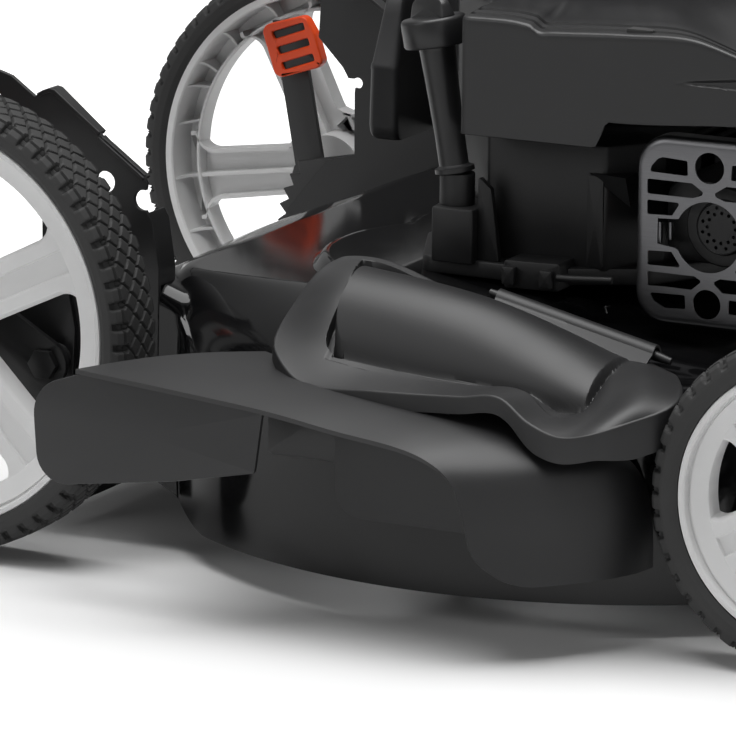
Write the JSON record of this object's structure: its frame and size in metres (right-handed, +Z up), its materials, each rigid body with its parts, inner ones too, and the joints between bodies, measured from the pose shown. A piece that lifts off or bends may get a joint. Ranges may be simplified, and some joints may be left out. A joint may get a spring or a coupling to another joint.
{
  "type": "walk-behind lawn mower",
  "caption": "Walk-behind petrol lawn mower with a round black deck, side discharge chute under a hinged door, spoked wheels on height levers and a folding U-shaped handle.",
  "frame": {"origin": "middle of the mower's footprint, on the ground", "axes": "+X to the operator's right, +Y forwards, +Z up; the crank turns about +Z"},
  "size_m": [0.63, 1.5288, 0.9719],
  "materials": {
    "deck_paint": "gloss black powder coat",
    "black_steel": "satin black paint",
    "dark_plastic": "fine-grained dark plastic",
    "rim_plastic": "light grey moulded plastic",
    "tyre_rubber": "black rubber",
    "orange_plastic": "orange moulded plastic",
    "cast_metal": "dark painted casting",
    "bright_steel": "brushed",
    "foam": "soft foam sleeve"
  },
  "bodies": {
    "mower": {"selector_plate_rear_right": "black_steel", "selector_plate_rear_left": "black_steel", "selector_plate_front_right": "black_steel", "selector_plate_front_left": "black_steel", "deck_shell": "deck_paint", "handle_bracket_right": "black_steel", "handle_bracket_left": "black_steel", "front_apron": "black_steel", "side_door_rod": "bright_steel", "side_deflector": "dark_plastic", "rear_door_rod": "bright_steel", "crankcase": "cast_metal", "cylinder": "cast_metal", "spark_plug": "bright_steel", "plug_boot": "tyre_rubber", "blower_shroud": "dark_plastic", "recoil_housing": "dark_plastic", "fuel_tank": "dark_plastic", "air_filter_cover": "dark_plastic", "muffler": "cast_metal", "muffler_guard": "bright_steel", "oil_filler_tube": "dark_plastic", "lower_handle_right": "black_steel", "lower_handle_left": "black_steel"},
    "lever_rear_right": {"height_lever_rear_right": "black_steel", "lever_grip_rear_right": "orange_plastic"},
    "wheel_rear_right": {"rim_rear_right": "rim_plastic", "tyre_rear_right": "tyre_rubber", "hub_cap_rear_right": "rim_plastic"},
    "lever_rear_left": {"height_lever_rear_left": "black_steel", "lever_grip_rear_left": "orange_plastic"},
    "wheel_rear_left": {"rim_rear_left": "rim_plastic", "tyre_rear_left": "tyre_rubber", "hub_cap_rear_left": "rim_plastic"},
    "lever_front_right": {"height_lever_front_right": "black_steel", "lever_grip_front_right": "orange_plastic"},
    "wheel_front_right": {"rim_front_right": "rim_plastic", "tyre_front_right": "tyre_rubber", "hub_cap_front_right": "rim_plastic"},
    "lever_front_left": {"height_lever_front_left": "black_steel", "lever_grip_front_left": "orange_plastic"},
    "wheel_front_left": {"rim_front_left": "rim_plastic", "tyre_front_left": "tyre_rubber", "hub_cap_front_left": "rim_plastic"},
    "side_door": {"side_door": "dark_plastic"},
    "rear_door": {"rear_door": "dark_plastic"},
    "rear_flap": {"rear_flap": "tyre_rubber"},
    "crank": {"crankshaft": "bright_steel", "flywheel": "cast_metal", "blade_adapter": "cast_metal", "blade": "bright_steel", "blade_bolt": "bright_steel"},
    "starter_handle": {"starter_handle": "dark_plastic"},
    "upper_handle": {"upper_handle": "black_steel", "foam_grip": "foam"},
    "stop_bail": {"stop_bail": "black_steel"},
    "knob_right": {"handle_knob_right": "dark_plastic"},
    "knob_left": {"handle_knob_left": "dark_plastic"},
    "dipstick_cap": {"dipstick_cap": "dark_plastic"},
    "fuel_cap": {"fuel_cap": "dark_plastic"}
  },
  "joints": [
    {"name": "height_rear_right", "type": "hinge", "parent": "mower", "child": "lever_rear_right", "pos_m": [0.1886, 0.1501, 0.10945], "axis": [1, 0, 0], "range_deg": [0, 60]},
    {"name": "height_rear_left", "type": "hinge", "parent": "mower", "child": "lever_rear_left", "pos_m": [-0.2486, 0.1501, 0.10945], "axis": [1, 0, 0], "range_deg": [0, 60]},
    {"name": "height_front_right", "type": "hinge", "parent": "mower", "child": "lever_front_right", "pos_m": [0.1886, 0.61511, 0.06725], "axis": [-1, 0, 0], "range_deg": [0, 60]},
    {"name": "height_front_left", "type": "hinge", "parent": "mower", "child": "lever_front_left", "pos_m": [-0.2486, 0.61511, 0.06725], "axis": [-1, 0, 0], "range_deg": [0, 60]},
    {"name": "spin_rear_right", "type": "hinge", "parent": "lever_rear_right", "child": "wheel_rear_right", "pos_m": [0.2325, 0.0981, 0.13945], "axis": [1, 0, 0], "continuous": true},
    {"name": "spin_rear_left", "type": "hinge", "parent": "lever_rear_left", "child": "wheel_rear_left", "pos_m": [-0.2925, 0.0981, 0.13945], "axis": [1, 0, 0], "continuous": true},
    {"name": "spin_front_right", "type": "hinge", "parent": "lever_front_right", "child": "wheel_front_right", "pos_m": [0.234, 0.6671, 0.09725], "axis": [1, 0, 0], "continuous": true},
    {"name": "spin_front_left", "type": "hinge", "parent": "lever_front_left", "child": "wheel_front_left", "pos_m": [-0.294, 0.6671, 0.09725], "axis": [1, 0, 0], "continuous": true},
    {"name": "side_door_hinge", "type": "hinge", "parent": "mower", "child": "side_door", "pos_m": [0.176, 0.42311, 0.18295], "axis": [0, -0.9713, 0.238], "range_deg": [0, 75], "stiffness_Nm_per_rad": 0.12, "springref_deg": -34.38},
    {"name": "rear_door_hinge", "type": "hinge", "parent": "mower", "child": "rear_door", "pos_m": [-0.03, 0.1228, 0.11375], "axis": [-1, 0, 0], "range_deg": [0, 75], "stiffness_Nm_per_rad": 0.08, "springref_deg": -34.38},
    {"name": "rear_flap_swing", "type": "hinge", "parent": "mower", "child": "rear_flap", "pos_m": [-0.03, 0.13711, 0.05175], "axis": [-1, 0, 0], "range_deg": [0, 40]},
    {"name": "crank_spin", "type": "hinge", "parent": "mower", "child": "crank", "pos_m": [-0.03, 0.41811, 0.17305], "axis": [0, 0, 1], "continuous": true},
    {"name": "starter_pull", "type": "slide", "parent": "mower", "child": "starter_handle", "axis": [0, -0.75, 0.6614], "range_m": [0, 0.5], "stiffness_N_per_m": 12, "springref_m": -0.5},
    {"name": "handle_fold", "type": "hinge", "parent": "mower", "child": "upper_handle", "pos_m": [-0.03, -0.22802, 0.52393], "axis": [-1, 0, 0], "range_deg": [0, 140]},
    {"name": "bail_squeeze", "type": "hinge", "parent": "upper_handle", "child": "stop_bail", "pos_m": [-0.03, -0.66931, 0.8687], "axis": [1, 0, 0], "range_deg": [0, 28], "stiffness_Nm_per_rad": 0.6, "springref_deg": -28.65},
    {"name": "knob_turn_right", "type": "hinge", "parent": "mower", "child": "knob_right", "pos_m": [0.1973, -0.22802, 0.52393], "axis": [1, 0, 0], "continuous": true},
    {"name": "knob_turn_left", "type": "hinge", "parent": "mower", "child": "knob_left", "pos_m": [-0.2573, -0.22802, 0.52393], "axis": [1, 0, 0], "continuous": true},
    {"name": "dipstick_turn", "type": "hinge", "parent": "mower", "child": "dipstick_cap", "pos_m": [0.105, 0.36211, 0.31175], "axis": [0, -0.1724, 0.985], "range_deg": [0, 90]},
    {"name": "fuel_cap_turn", "type": "hinge", "parent": "mower", "child": "fuel_cap", "pos_m": [-0.1, 0.29461, 0.31775], "axis": [0, 0, 1], "range_deg": [0, 90]}
  ]
}
